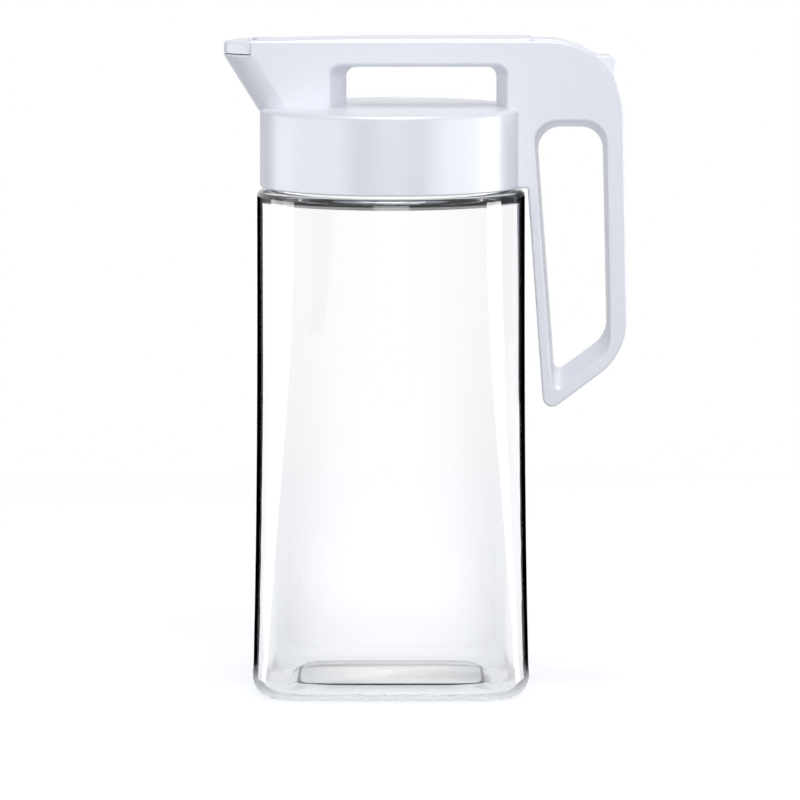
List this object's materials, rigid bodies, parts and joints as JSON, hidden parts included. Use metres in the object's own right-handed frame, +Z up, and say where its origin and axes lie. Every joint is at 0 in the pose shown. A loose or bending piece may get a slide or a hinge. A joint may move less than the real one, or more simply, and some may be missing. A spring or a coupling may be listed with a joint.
{
  "type": "infusion pitcher",
  "caption": "Clear fridge pitcher, round shoulder to rounded-square foot, with a white screw lid that carries a flap spout, a bridge grip, a loop handle and a thumb lever.",
  "frame": {"origin": "on the surface that the pitcher stands on, under the middle of its overall box; the jug's own axis is 14.8 mm towards the spout", "axes": "+Z up, -X towards the spout, +X towards the handle, the mirror plane is Y = 0"},
  "size_m": [0.1726, 0.1184, 0.28],
  "materials": {
    "clear_resin": "clear moulded resin, polished",
    "white_plastic": "white moulded plastic, smooth gloss",
    "silicone": "soft translucent white silicone",
    "steel": "drawn stainless wire and pin"
  },
  "bodies": {
    "jug": {"jug_body": "clear_resin"},
    "gasket": {"lid_gasket": "silicone"},
    "lid": {"lid_shell": "white_plastic", "lid_liner": "white_plastic", "liner_seal": "silicone", "lever_pin": "steel", "lever_spring": "steel"},
    "lever": {"pour_lever": "white_plastic", "flap_seal": "silicone"}
  },
  "joints": [
    {"name": "lid_lift", "type": "slide", "parent": "jug", "child": "gasket", "axis": [0, 0, 1], "range_m": [0, 0.125]},
    {"name": "lid_turn", "type": "hinge", "parent": "gasket", "child": "lid", "pos_m": [-0.0148, 0, 0.25], "axis": [0, 0, 1], "range_deg": [0, 270]},
    {"name": "lever_press", "type": "hinge", "parent": "lid", "child": "lever", "pos_m": [0.0512, 0, 0.273], "axis": [0, 1, 0], "range_deg": [0, 8], "stiffness_Nm_per_rad": 0.29, "springref_deg": -12.03, "deforming": ["lever_spring"]}
  ]
}
